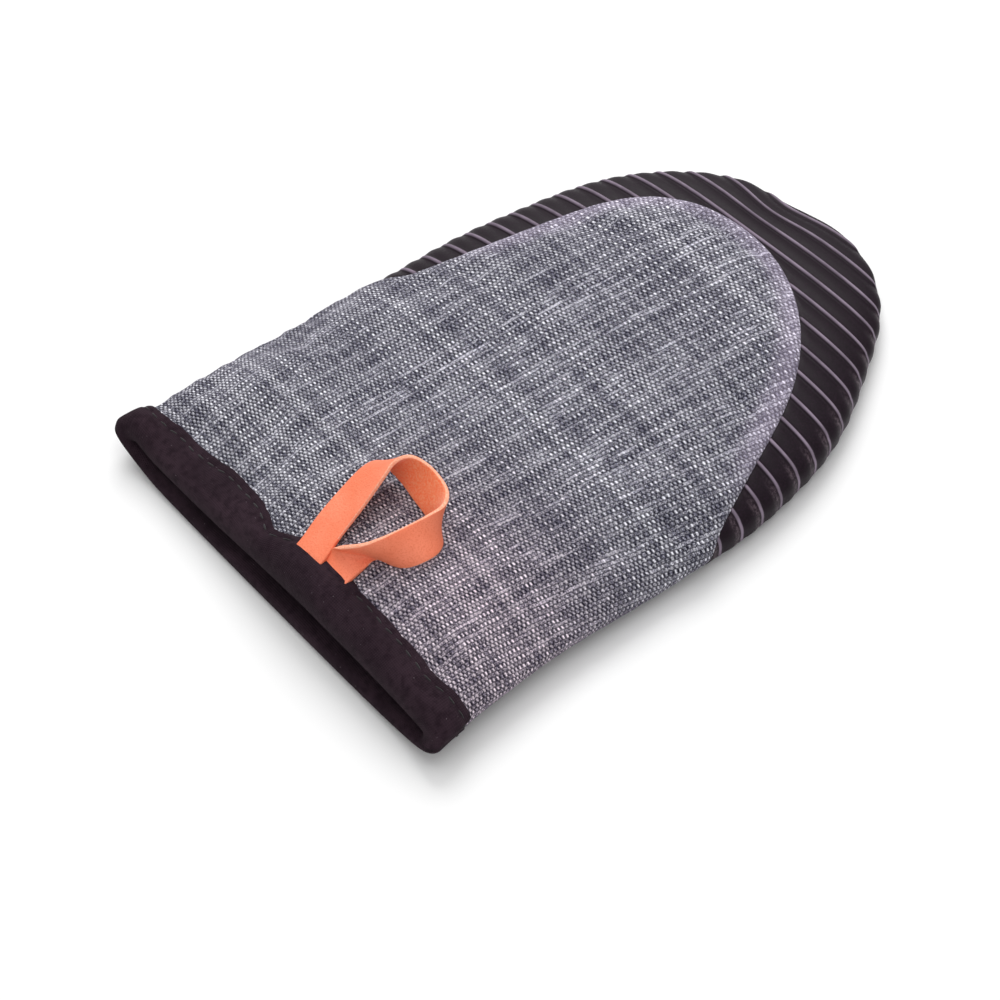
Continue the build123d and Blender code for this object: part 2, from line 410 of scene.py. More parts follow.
def ring_shell_mesh(name, outer, inner, materials, values=None):
    """A closed shell between two grids whose columns go all the way round."""
    rows, columns = outer.shape[:2]
    number = np.arange(rows * columns).reshape(rows, columns)
    below = number + rows * columns
    rims = []
    for row in (0, rows - 1):
        rim = joining_faces(np.append(number[row], number[row, 0]), np.append(below[row], below[row, 0]))
        rims.append(rim if row == 0 else rim[:, ::-1])
    faces = [
        grid_faces(rows, columns, closed=True),
        grid_faces(rows, columns, start=rows * columns, closed=True, flip=True),
        *rims,
    ]
    points = np.vstack([outer.reshape(-1, 3), inner.reshape(-1, 3)])
    doubled = {k: np.concatenate([np.asarray(v)] * 2) for k, v in (values or {}).items()}
    return make_mesh(name, points, np.vstack(faces), materials, doubled)


# === materials ========================================================================================
class Finish:
    """A material, with short ways to add the nodes that the finishes here share."""

    def __init__(self, name, **settings):
        self.material = bpy.data.materials.new(name)
        self.material.use_nodes = True
        self.tree = self.material.node_tree
        self.shader = self.tree.nodes["Principled BSDF"]
        for socket, value in settings.items():
            self.put(self.shader.inputs[socket.replace("_", " ")], value)

    def put(self, socket, value):
        if isinstance(value, bpy.types.NodeSocket):
            self.tree.links.new(value, socket)
        elif isinstance(value, tuple) and len(value) == 3 and socket.type == "RGBA":
            socket.default_value = (*value, 1)
        else:
            socket.default_value = value

    def node(self, kind, *values, **settings):
        node = self.tree.nodes.new("ShaderNode" + kind)
        for key, value in settings.items():
            setattr(node, key, value)
        for socket, value in zip(node.inputs, values):
            if value is not None:
                self.put(socket, value)
        return node

    def math(self, operation, a, b=0.5, c=0.5):
        return self.node("Math", a, b, c, operation=operation).outputs[0]

    def spread(self, value, low, high, to_low=0.0, to_high=1.0):
        """Eases value from low..high to to_low..to_high."""
        node = self.node("MapRange", interpolation_type="SMOOTHSTEP")
        for socket, number in zip(node.inputs, (value, low, high, to_low, to_high)):
            self.put(socket, number)
        return node.outputs[0]

    def blend(self, factor, a, b):
        node = self.node("Mix", data_type="RGBA", clamp_factor=True)
        self.put(node.inputs["Factor"], factor)
        self.put(node.inputs[6], a)
        self.put(node.inputs[7], b)
        return node.outputs[2]

    def tinted(self, colour, tint):
        node = self.node("VectorMath", colour, tint, operation="MULTIPLY")
        return node.outputs[0]

    def place(self, scale=(1, 1, 1), attribute=None):
        """Position in millimetres, from the object or from a mesh attribute, times scale."""
        if attribute:
            source, unit_scale = self.node("Attribute", attribute_name=attribute).outputs["Vector"], 1.0
        else:
            source, unit_scale = self.node("TexCoord").outputs["Object"], 1 / MM
        node = self.node("VectorMath", source, tuple(unit_scale * s for s in scale), operation="MULTIPLY")
        return node.outputs[0]

    def noise(self, place, scale=1.0, detail=2.0, rough=0.5):
        node = self.node("TexNoise")
        self.put(node.inputs["Vector"], place)
        self.put(node.inputs["Scale"], scale)
        self.put(node.inputs["Detail"], detail)
        self.put(node.inputs["Roughness"], rough)
        return node.outputs["Fac"]

    def bump(self, height, depth_mm, strength=1.0):
        node = self.node("Bump")
        self.put(node.inputs["Strength"], strength)
        self.put(node.inputs["Distance"], depth_mm * MM)
        self.put(node.inputs["Height"], height)
        self.put(self.shader.inputs["Normal"], node.outputs[0])

    def weave(self, x, y, across, along):
        """Plain weave: +1 where the crosswise thread lies on top, -1 where the lengthwise one does."""
        waves = [
            self.math("COSINE", self.math("MULTIPLY", value, math.pi / pitch))
            for value, pitch in ((x, across), (y, along))
        ]
        return self.math("MULTIPLY", *waves)


    def strand(self, value, pitch):
        """For parallel strands at this pitch: a number of each strand's own, and 1 in its middle to 0 between."""
        index = self.math("ROUND", self.math("DIVIDE", value, pitch))
        own = self.node("TexWhiteNoise", noise_dimensions="1D")
        self.put(own.inputs["W"], index)
        core = self.math("ABSOLUTE", self.math("COSINE", self.math("MULTIPLY", value, math.pi / pitch)))
        return own.outputs["Value"], core


def srgb(red, green, blue):
    """Scene colour of an sRGB colour given as 0 to 255."""
    return tuple(((c / 255 + 0.055) / 1.055) ** 2.4 if c > 10 else c / 255 / 12.92 for c in (red, green, blue))


def back_fabric_finish():
    """Slubby plain weave. Each thread has its own tone: crosswise ones are mostly pale, lengthwise mostly dark."""
    f = Finish("back_fabric", Roughness=0.9, Sheen_Weight=0.15, Sheen_Roughness=0.4, Sheen_Tint=srgb(222, 205, 230))
    f.put(f.shader.inputs["Specular IOR Level"], 0.06)
    axes = f.node("SeparateXYZ", f.place(attribute="cloth"))
    across, along = axes.outputs[0], axes.outputs[1]
    drift = f.noise(f.place((0.011, 0.011, 0.011), "cloth"), 1.0, 0.0)
    wobble = f.noise(f.place((0.35, 0.12, 0.2), "cloth"), 1.0, 2.0)
    fan = f.spread(along, *WEAVE_FAN)
    x = f.math("MULTIPLY_ADD", along, WEAVE_SKEW, f.math("MULTIPLY", across, fan))
    x = f.math("ADD", f.math("MULTIPLY_ADD", drift, 3.0, x), f.math("MULTIPLY", wobble, 0.8))
    eased = f.math("MULTIPLY_ADD", f.math("MULTIPLY", along, along), -PICK_EASE, along)
    y = f.math("ADD", f.math("MULTIPLY_ADD", wobble, 0.7, eased), f.math("MULTIPLY", drift, 3.0))
    over = f.weave(x, y, THREAD_PITCH, PICK_PITCH)
    thread, thread_core = f.strand(x, THREAD_PITCH)
    pick, pick_core = f.strand(y, PICK_PITCH)
    turnabout = f.math("COSINE", f.math("MULTIPLY", y, math.pi / PICK_PITCH))
    streaks = f.noise(f.place((0.34, 0.035, 0.1), "cloth"), 1.0, 3.0, 0.6)
    slubs = f.noise(f.place((0.8, 0.14, 0.3), "cloth"), 1.0, 3.0, 0.6)
    knots = f.noise(f.place((0.3, 1.6, 0.3), "cloth"), 1.0, 3.0, 0.6)
    grain = f.noise(f.place((2.6, 3.4, 2.6), "cloth"), 1.0, 2.0, 0.7)
    band = f.spread(streaks, 0.3, 0.7, -0.14, 0.14)
    speckle = f.math("MULTIPLY_ADD", grain, 2.8, -1.4)
    thread_tone = f.math("MULTIPLY_ADD", f.math("POWER", thread, 5.0), f.spread(slubs, 0.4, 0.65, 0.0, 0.5), slubs)
    thread_tone = f.math("ADD", f.math("MULTIPLY", thread_tone, f.spread(thread_core, 0.2, 0.9, 0.7, 1.0)), band)
    thread_tone = f.math("MULTIPLY_ADD", speckle, 0.7, thread_tone)
    pick_tone = f.math("ADD", f.math("MULTIPLY_ADD", f.math("POWER", pick, 2.0), 0.65, knots), band)
    pick_tone = f.math("ADD", pick_tone, speckle)
    dark = f.blend(f.spread(thread_tone, 0.35, 1.25), srgb(21, 21, 33), srgb(228, 226, 240))
    light = f.blend(f.spread(pick_tone, 0.3, 1.2), srgb(104, 103, 120), srgb(244, 243, 252))
    cloth = f.blend(f.spread(over, -0.75, 0.75), dark, light)
    # Painted shade: the gaps between threads and the dip of each pick under its neighbour are darkened.
    between = f.math("MAXIMUM", f.spread(thread_core, 0.0, 0.7, 0.85, 0.0), f.spread(pick_core, 0.0, 0.5, 0.55, 0.0))
    sunk = f.spread(turnabout, 1.0, -1.0, 0.0, 0.36)
    cloth = f.blend(f.math("MAXIMUM", between, sunk), cloth, srgb(22, 21, 34))
    # Painted sheen: the fabric rolling over the front edge is made paler and lilac.
    painted_edge_sheen = f.spread(f.node("Attribute", attribute_name="painted_edge_sheen").outputs["Fac"], 0.0, 1.0, 0.0, 0.22)
    cloth = f.blend(painted_edge_sheen, f.blend(painted_edge_sheen, cloth, srgb(205, 190, 212)), f.tinted(cloth, (1.7, 1.5, 1.75)))
    # Painted light: the fabric near the cuff on the right side is made redder and a little brighter, against the shade
    # where it slopes down.
    place = f.node("SeparateXYZ", f.place())
    painted_light_patch = f.math("MULTIPLY", f.spread(place.outputs[0], -10, 50), f.spread(place.outputs[1], -20, -80))
    cloth = f.blend(painted_light_patch, cloth, f.tinted(cloth, (1.12, 0.97, 0.99)))
    f.put(f.shader.inputs["Base Color"], cloth)
    f.bump(f.math("MULTIPLY_ADD", f.math("ABSOLUTE", over), 0.7, f.math("MULTIPLY", slubs, 0.3)), 0.2)
    return f.material


def silicone_finish():
    """Semi-matte black-plum silicone: a painted highlight along the rib crests, and next to them on the near side a
    painted highlight speckled with dust.
    """
    f = Finish("silicone", Sheen_Weight=0.06, Sheen_Roughness=0.25, Sheen_Tint=srgb(225, 200, 232))
    f.put(f.shader.inputs["Specular IOR Level"], 0.13)
    crest = f.node("Attribute", attribute_name="crest").outputs["Fac"]
    # Painted highlight: the rib crests are paler, broken up by mottle noise.
    highlight_mottle = f.noise(f.place((0.12, 0.3, 0.2)), 1.0, 3.0, 0.6)
    dust = f.noise(f.place((1.6, 1.6, 1.6)), 1.0, 3.0, 0.65)
    crest_highlight = f.math("MULTIPLY", f.spread(crest, 0.25, 0.95), f.spread(highlight_mottle, 0.25, 0.7, 0.6, 1.0))
    skin = f.blend(f.spread(dust, 0.4, 0.75), srgb(20, 9, 18), srgb(33, 19, 31))
    # Painted highlight on each rib's cuff-side flank on the near side, speckled with dust.
    sheen_and_dust_flank = f.node("Attribute", attribute_name="flank_sheen_and_dust").outputs["Fac"]
    speckle = f.spread(f.noise(f.place((0.9, 0.9, 0.9)), 1.0, 4.0, 0.7), 0.42, 0.62, 0.1, 0.85)
    skin = f.blend(f.math("MULTIPLY", sheen_and_dust_flank, speckle), skin, srgb(96, 82, 90))
    f.put(f.shader.inputs["Base Color"], f.blend(crest_highlight, skin, srgb(136, 122, 138)))
    f.put(f.shader.inputs["Roughness"], f.spread(dust, 0.3, 0.7, 0.42, 0.6))
    f.bump(dust, 0.03)
    return f.material


def binding_finish():
    """Near-black cotton tape with a fine diagonal weave and a little lint."""
    f = Finish("binding_tape", Roughness=0.95, Sheen_Weight=0.03, Sheen_Roughness=0.5)
    f.put(f.shader.inputs["Specular IOR Level"], 0.04)
    axes = f.node("SeparateXYZ", f.place(attribute="cloth"))
    slant = f.math("ADD", axes.outputs[0], axes.outputs[1])
    other = f.math("SUBTRACT", axes.outputs[0], axes.outputs[1])
    over = f.weave(slant, other, 0.62, 0.62)
    lint = f.noise(f.place((1.1, 1.1, 1.1)), 1.0, 4.0, 0.7)
    cloud = f.noise(f.place((0.08, 0.08, 0.08)), 1.0, 2.0)
    mottle = f.noise(f.place((0.45, 0.45, 0.45)), 1.0, 3.0, 0.6)
    base = f.blend(f.spread(over, -0.8, 0.8), srgb(38, 27, 34), srgb(47, 35, 42))
    base = f.blend(f.spread(cloud, 0.35, 0.7, 0.0, 0.7), base, srgb(54, 40, 48))
    base = f.blend(f.spread(mottle, 0.4, 0.7, 0.0, 0.8), base, srgb(33, 22, 29))
    f.put(f.shader.inputs["Base Color"], f.blend(f.spread(lint, 0.68, 0.76), base, srgb(150, 140, 146)))
    f.bump(f.math("MULTIPLY_ADD", mottle, 2.0, over), 0.07)
    return f.material


def thread_finish(name, colour, pale):
    f = Finish(name, Roughness=0.8, Sheen_Weight=0.2)
    twist = f.noise(f.place((3.0, 3.0, 3.0)), 1.0, 3.0)
    f.put(f.shader.inputs["Base Color"], f.blend(f.spread(twist, 0.35, 0.7), colour, pale))
    f.bump(twist, 0.05)
    return f.material


def grain_finish():
    """Grain side of the leather: fine pebbles, faint cloudiness."""
    f = Finish("strap_leather", Coat_Weight=0.0)
    f.put(f.shader.inputs["Specular IOR Level"], 0.4)
    pebble = f.node("TexVoronoi", feature="F1")
    f.put(pebble.inputs["Vector"], f.place((1.5, 1.5, 1.5)))
    f.put(pebble.inputs["Scale"], 1.0)
    fine = f.noise(f.place((2.2, 2.2, 2.2)), 1.0, 3.0)
    cloud = f.noise(f.place((0.09, 0.09, 0.09)), 1.0, 2.0)
    tone = f.blend(f.spread(cloud, 0.3, 0.7), srgb(243, 126, 88), srgb(252, 141, 106))
    f.put(f.shader.inputs["Base Color"], f.blend(f.spread(fine, 0.42, 0.8), tone, srgb(234, 116, 78)))
    f.put(f.shader.inputs["Roughness"], f.spread(cloud, 0.3, 0.7, 0.5, 0.62))
    f.bump(f.math("ADD", f.math("MULTIPLY", pebble.outputs["Distance"], 0.6), fine), 0.12)
    return f.material


def flesh_finish():
    """Inner side of the leather: napped and a little darker."""
    f = Finish("strap_flesh", Roughness=0.95, Sheen_Weight=0.3, Sheen_Roughness=0.5)
    f.put(f.shader.inputs["Specular IOR Level"], 0.1)
    nap = f.noise(f.place((1.8, 1.8, 1.8)), 1.0, 4.0, 0.7)
    f.put(f.shader.inputs["Base Color"], f.blend(f.spread(nap, 0.35, 0.7), srgb(255, 122, 76), srgb(255, 162, 116)))
    f.bump(nap, 0.12)
    return f.material


def cut_edge_finish():
    """The leather's pale cut edge."""
    f = Finish("strap_edge", Roughness=0.8)
    fibre = f.noise(f.place((2.5, 2.5, 2.5)), 1.0, 3.0)
    f.put(f.shader.inputs["Base Color"], f.blend(f.spread(fibre, 0.35, 0.7), srgb(250, 156, 122), srgb(255, 190, 160)))
    f.bump(fibre, 0.1)
    return f.material


def wadding_finish():
    """Felted fibre padding."""
    f = Finish("wadding", Roughness=1.0, Sheen_Weight=0.3)
    fibre = f.noise(f.place((0.9, 0.25, 0.9)), 1.0, 5.0, 0.7)
    f.put(f.shader.inputs["Base Color"], f.blend(f.spread(fibre, 0.3, 0.7), srgb(190, 186, 180), srgb(226, 223, 218)))
    f.bump(fibre, 0.4)
    return f.material


def lining_finish():
    """Dark plain-woven lining."""
    f = Finish("lining", Roughness=0.95, Sheen_Weight=0.1)
    axes = f.node("SeparateXYZ", f.place())
    over = f.weave(axes.outputs[0], axes.outputs[1], 0.55, 0.55)
    f.put(f.shader.inputs["Base Color"], f.blend(f.spread(over, -0.8, 0.8), srgb(20, 13, 17), srgb(32, 24, 28)))
    f.bump(over, 0.08)
    return f.material


def floor_finish():
    f = Finish("floor", Roughness=0.85)
    cloud = f.noise(f.place((0.004, 0.004, 0.004)), 1.0, 2.0)
    f.put(f.shader.inputs["Base Color"], f.blend(cloud, (0.86, 0.86, 0.86), (0.88, 0.88, 0.88)))
    return f.material


# === silicone palm sheet ==============================================================================
def rib_offset(y):
    """Distance along Y from the nearest rib's middle."""
    return (y - MIDDLE_RIB_Y + RIB_PITCH / 2) % RIB_PITCH - RIB_PITCH / 2


def silicone_rows(first, apex):
    """Row places along Y: fine over each rib, coarser between, closing up round the finger tip."""
    y = np.linspace(first, HALF_LENGTH, 20001)
    tip = np.sqrt(np.clip(1 - (np.maximum(y, 0) / HALF_LENGTH) ** 2, 1e-6, 1))
    spacing = np.where(np.abs(rib_offset(y)) < 1.3, 0.3, 1.0) * np.minimum(1, 1.25 * tip)
    density = 1 / spacing
    run = np.concatenate([[0], np.cumsum((density[1:] + density[:-1]) / 2 * np.diff(y))])
    rows = np.interp(np.linspace(0, run[-1], int(run[-1]) + 1), run, y)
    rows[np.argmin(np.abs(rows - apex))] = apex
    return rows


def palm_sheet():
    apex = BACK_REACH - SEAM_ALLOWANCE
    y = silicone_rows(CUFF_Y + 6.0, apex)
    right = edge_turn(y, RIGHT, SEAM_ALLOWANCE)
    left = np.pi - edge_turn(y, LEFT, SEAM_ALLOWANCE)
    turn = even_turns(outer_form, y, left - 2 * np.pi, right, np.linspace(0, 1, 171))
    y = y[:, None]
    base, normal = outer_form(y, turn), outward(y, turn)
    rows = int(np.argmin(np.abs(y[:, 0] - apex))) + 1
    edge = np.vstack([base[:rows, 0], base[:rows, -1][::-1]])
    shown = smooth((distance_to_line(base, edge) - SEAM_ALLOWANCE + 0.8) / 0.8)
    shown = shown * smooth((y - FIRST_RIB_Y) / 2)
    steep = np.sqrt(np.clip(1 - normal[..., 1] ** 2, 0.06, 1)) * lerp(1, 1.25, smooth(normal[..., 0] / 0.6))
    crest = np.exp(-((np.abs(rib_offset(y)) / steep / RIB_SPREAD) ** 2.6))
    swell = np.sin(np.pi * rib_offset(y) / RIB_PITCH) ** 2
    facing = np.abs(normal[..., 2])
    steepest = np.where(normal[..., 2] > 0, 0.62, 0.76)
    tall = lerp(SIDE_RIB, RIB_HEIGHT, smooth((facing - steepest) / (1 - steepest)))
    soft = SWELL_HEIGHT * swell * smooth((normal[..., 2] + 0.45) / 0.5)
    lift = (tall * crest + soft) * shown
    outer = base + normal * lift[..., None]
    inner = base - normal * SILICONE_THICKNESS * nose_room(y)[..., None]
    outer[..., 2] = np.maximum(outer[..., 2], 0.02)
    # Painted highlight mask: the cuff-side flank of each rib where it faces the near side; the finish speckles it with
    # dust.
    flank_sheen_and_dust = hill(rib_offset(y), -1.8, 0.9) * smooth((normal[..., 0] - 0.25) / 0.4) * shown
    # Painted highlight along each rib crest, made thinner on the near side.
    crest_highlight_mask = crest ** lerp(1, 2.6, smooth(normal[..., 0] / 0.5)) * shown
    values = {"crest": crest_highlight_mask.reshape(-1), "flank_sheen_and_dust": flank_sheen_and_dust.reshape(-1)}
    return shell_mesh("palm_silicone", outer, inner, [silicone_finish()], values, open_rows=rows)


def nose_room(y):
    """Thins a layer where the finger tip closes, so that its inner face doesn't cross itself."""
    return np.clip((HALF_LENGTH - y) / 4, 0.05, 1)


# === back cover =======================================================================================
def back_rows():
    behind = np.arange(CUFF_Y + 6.5, 0, 1.5)
    ahead = BACK_REACH * np.sin(np.linspace(0, QUARTER, 80))
    return np.concatenate([behind, ahead])


def puff(y, away):
    """How far the padding lifts the fabric off the outer form, by distance away from its edge."""
    front = 2.2 * roll(away / 4.5) + 0.4 * smooth(away / 25)
    side = 1.1 * roll(away / 3.0) + 1.4 * smooth(away / 26)
    lift = lerp(side, front, smooth((y + 22) / 20))
    pucker = 0.12 * np.sin(y * 0.75) * hill(away, 4, 4)
    ripple = 0.2 * np.sin(y * 0.083 + 1.3) * smooth(away / 20)
    return lerp(COVER, lift + pucker + ripple, smooth((y - BINDING_EDGE_Y + 1) / 13))


def back_grid(y, columns):
    """Grid of the back's fabric: turns, base points, normals and distance from the edge."""
    right = edge_turn(y, RIGHT, 0)
    left = np.pi - edge_turn(y, LEFT, 0)
    t = np.linspace(0, 1, columns)
    shares = lerp(t, 0.5 - 0.5 * np.cos(np.pi * t), 0.8)
    turn = even_turns(outer_form, y, right, left, shares)
    base, normal = outer_form(y[:, None], turn), outward(y[:, None], turn)
    edge = np.vstack([base[:, 0], base[:, -1][::-1]])
    return turn, base, normal, distance_to_line(base, edge)


def settle_cloth(points, away):
    """Cloth simulation of the back: pressure from the wadding lifts it against its stitched edge.
    Returns how far each point moves."""
    rows, columns = points.shape[:2]
    piece = make_mesh("cloth_trial", points.reshape(-1, 3), grid_faces(rows, columns), [])
    held = piece.vertex_groups.new(name="held")
    first = np.array([v.co for v in piece.data.vertices]) / MM
    flat, pinned = points.reshape(-1, 3), (away.reshape(-1) < 4) | (points[..., 1].reshape(-1) < BINDING_EDGE_Y)
    numbers = np.array([int(np.argmin(((flat - p) ** 2).sum(1))) for p in first])
    held.add([i for i, n in enumerate(numbers) if pinned[n]], 1.0, "REPLACE")
    cloth = piece.modifiers.new("cloth", "CLOTH")
    cloth.settings.vertex_group_mass = "held"
    cloth.settings.quality = 6
    cloth.settings.mass = 0.3
    cloth.settings.use_pressure = True
    cloth.settings.uniform_pressure_force = 3.0
    cloth.settings.shrink_min = -0.012
    cloth.settings.effector_weights.gravity = 0
    cloth.point_cache.frame_start, cloth.point_cache.frame_end = 1, 20
    scene = bpy.context.scene
    for number in range(1, 21):
        scene.frame_set(number)
    solved = piece.evaluated_get(bpy.context.evaluated_depsgraph_get())
    last = np.array([v.co for v in solved.data.vertices]) / MM
    moved = np.zeros_like(flat)
    moved[numbers] = last - first
    bpy.data.objects.remove(piece)
    scene.frame_set(1)
    length = np.linalg.norm(moved, axis=1, keepdims=True)
    moved *= np.minimum(1, 1.5 / np.maximum(length, 1e-9))
    return moved.reshape(points.shape)


def resample(field, rows, columns):
    """Stretches a coarse grid of vectors over a finer one by straight blending."""
    i = np.linspace(0, field.shape[0] - 1, rows)
    j = np.linspace(0, field.shape[1] - 1, columns)
    a, b = np.minimum(i.astype(int), field.shape[0] - 2), np.minimum(j.astype(int), field.shape[1] - 2)
    u, v = (i - a)[:, None, None], (j - b)[None, :, None]
    top = lerp(field[a][:, b], field[a][:, b + 1], v)
    bottom = lerp(field[a + 1][:, b], field[a + 1][:, b + 1], v)
    return lerp(top, bottom, u)


def back_cover():
    y, columns = back_rows(), 181
    turn, base, normal, away = back_grid(y, columns)
    lift = puff(y[:, None], away)
    outer = base + normal * (lift + 0.12)[..., None]
    under = np.maximum(lift + 0.12 - FABRIC_THICKNESS, 0.03)
    inner = base + normal * under[..., None]
    every = 3
    moved = settle_cloth(outer[::every, ::every], away[::every, ::every])
    moved = resample(moved, len(y), columns)
    outer, inner = outer + moved, inner + moved * smooth(away / 6)[..., None]
    cloth = np.stack([across_mm(outer), outer[..., 1], outer[..., 2]], -1).reshape(-1, 3)
    # Painted sheen mask: the front part of the fabric within about 12 mm of its edge.
    painted_edge_sheen = smooth((12 - away) / 11) * smooth((y[:, None] + 10) / 40)
    values = {"cloth": cloth, "painted_edge_sheen": painted_edge_sheen.reshape(-1)}
    return shell_mesh("back_cover", outer, inner, [back_fabric_finish()], values)


# === hidden layers ====================================================================================
def layer(name, y, first, last, outside, inside, material, columns=61):
    """A closed layer between two depths: 0 is the outer form and 1 the pocket."""
    turn = even_turns(outer_form, y, first, last, np.linspace(0, 1, columns))
    base, pocket = outer_form(y[:, None], turn), pocket_form(y[:, None], turn)
    return shell_mesh(name, lerp(base, pocket, outside), lerp(base, pocket, inside), [material])


def layer_rows(first, last, count):
    """Rows that close up towards last, where a layer's end comes to a point."""
    behind = np.linspace(first, 0, count // 2, endpoint=False)
    return np.concatenate([behind, last * np.sin(np.linspace(0, QUARTER, count // 2))])


def back_wadding():
    y = layer_rows(CUFF_Y + 7.5, BACK_REACH - 5, 80)
    right = edge_turn(y, RIGHT, 5)
    left = np.pi - edge_turn(y, LEFT, 5)
    return layer("back_padding", y, right, left, 0.04, 0.86, wadding_finish())


def palm_wadding():
    y = layer_rows(CUFF_Y + 7.5, HALF_LENGTH - 3, 100)
    return layer("palm_padding", y, np.full(len(y), -np.pi + 0.02), np.full(len(y), -0.02), 0.50, 0.86, wadding_finish())


def lining_half(name, side):
    """One half of the lining: side 1 is under the back, -1 over the palm."""
    y = layer_rows(CUFF_Y + 4, HALF_LENGTH - 1, 100)
    first = np.full(len(y), 0.01 if side > 0 else -np.pi + 0.01)
    return layer(name, y, first, first + np.pi - 0.02, 0.90, 1.0, lining_finish(), columns=81)


# === cuff binding =====================================================================================
def binding_edge(turn):
    """Y of the binding's front edge, which wanders a little."""
    x = outer_form(np.full_like(turn, BINDING_EDGE_Y), turn)[:, 0]
    top = smooth(np.sin(turn) / 0.3 + 0.5)
    wander = EDGE_ADVANCE + sum(height * hill(x, middle, spread) for middle, spread, height in EDGE_WANDER)
    fray = 0.15 * np.sin(x / 3.1) + 0.08 * np.sin(x / 1.7 + 1) + 0.08 * np.sin(x / 0.9)
    return BINDING_EDGE_Y + (wander + fray) * top


def binding_wall(turn):
    """Outer and pocket points of the bound wall at its edge, and the wall's thickness."""
    y = np.full_like(turn, CUFF_Y + 4)
    cover = COVER * smooth((np.sin(turn) + 0.1) / 0.3)
    outer = outer_form(y, turn) + outward(y, turn) * cover[:, None]
    return np.linalg.norm(outer - pocket_form(y, turn), axis=1)


def tape_lift(y, turn, inset):
    """How far the tape stands off the wall: its thickness, a soft crown, the stitch line and the strap's tails."""
    up = smooth((np.sin(turn) + 0.1) / 0.3)
    x = outer_form(y, turn)[..., 0]
    across = np.clip((binding_edge(turn) - y) / 9, 0, 1)
    crown_lift = 0.9 * np.sin(np.pi * across) ** 0.8 * up
    stitched = 0.3 * hill(binding_edge(turn) - y, STITCH_INSET, 0.7) * up
    tails = 0.9 * smooth((x - TAILS_LEFT + 3) / 4) * smooth((TAILS_RIGHT + 3 - x) / 4) * up
    dimple = 0.5 * hill(x, -40, 4) * hill(y, BINDING_EDGE_Y - 4, 3) * up
    return COVER * up + BINDING_THICKNESS * (1 - inset) + crown_lift - stitched + tails - dimple


def binding_skin(turn, inset):
    """The tape's U-shaped profile at each turn, from its outer edge round the lip to its inner edge.
    inset is 0 for the outside of the tape and 1 for the side against the wall."""
    thick = binding_wall(turn) + 2 * BINDING_THICKNESS * (1 - inset)
    lip = CUFF_Y + LIP_SETBACK * smooth((np.sin(turn) + 0.15) / 0.5) + BINDING_THICKNESS * inset
    radius = thick * LIP_ROUND
    edge = binding_edge(turn)
    rows = []
    for share in np.linspace(0, 1, 20, endpoint=False):
        rows.append((lerp(edge, lip + radius, share), np.zeros_like(turn)))
    for angle in np.linspace(0, np.pi, 19):
        rows.append((lip + radius * (1 - np.sin(angle)), np.full_like(turn, (1 - np.cos(angle)) / 2)))
    for share in np.linspace(0, 1, 9)[1:]:
        rows.append((lerp(lip + radius, CUFF_Y + 11.0, share), np.ones_like(turn)))
    skins = []
    for y, depth in rows:
        outside = outer_form(y, turn) + outward(y, turn) * tape_lift(y, turn, inset)[:, None]
        pocket = pocket_form(y, turn)
        inside = pocket + unit(pocket - outside) * BINDING_THICKNESS * (1 - inset)
        skins.append(lerp(outside, inside, depth[:, None]))
    grid = np.array(skins)
    grid[..., 2] = np.maximum(grid[..., 2], 0.03 + 0.3 * inset)
    return grid


def binding():
    turn = even_turns(outer_form, [CUFF_Y + 6.0], [0.0], [2 * np.pi], np.linspace(0, 1, 321))[0][:-1]
    outer, inner = binding_skin(turn, 0.0), binding_skin(turn, 1.0)
    run = np.concatenate([np.zeros((len(outer), 1)), np.cumsum(np.linalg.norm(np.diff(outer, axis=1), axis=-1), axis=1)], 1)
    down = np.concatenate([np.zeros((1, len(turn))), np.cumsum(np.linalg.norm(np.diff(outer, axis=0), axis=-1), axis=0)], 0)
    cloth = np.stack([np.broadcast_to(run[:1], run.shape), down, outer[..., 2]], -1).reshape(-1, 3)
    return ring_shell_mesh("binding", outer, inner, [binding_finish()], {"cloth": cloth})


# === stitching ========================================================================================
def stitches(name, path, up, length, pitch, thread, material):
    """Running stitches along a path of points, each a short thread that dives into the cloth at both ends."""
    run = np.append(0, np.cumsum(np.linalg.norm(np.diff(path, axis=0), axis=1)))
    points, faces = [], []
    steps, sides = 7, 6
    for begin in np.arange(0, run[-1] - length, pitch):
        at = begin + np.linspace(0, length, steps)
        centre = np.stack([np.interp(at, run, path[:, k]) for k in range(3)], -1)
        above = unit(np.stack([np.interp(at, run, up[:, k]) for k in range(3)], -1))
        arch = np.sin(np.linspace(0, np.pi, steps))
        centre = centre + above * (thread * (1.3 * arch - 0.9))[:, None]
        ahead = unit(np.gradient(centre, axis=0))
        side = unit(np.cross(ahead, above))
        above = np.cross(side, ahead)
        thin = thread * np.clip(2.5 * arch, 0.35, 1)
        angle = np.linspace(0, 2 * np.pi, sides, endpoint=False)
        ring = np.cos(angle)[None, :, None] * side[:, None] + np.sin(angle)[None, :, None] * above[:, None]
        start = sum(len(p) for p in points)
        points.append((centre[:, None] + ring * thin[:, None, None]).reshape(-1, 3))
        faces.extend(grid_faces(steps, sides, start, closed=True).tolist())
        faces.append([start + k for k in range(sides)][::-1])
        faces.append([start + (steps - 1) * sides + k for k in range(sides)])
    return make_mesh(name, np.vstack(points), faces, [material])


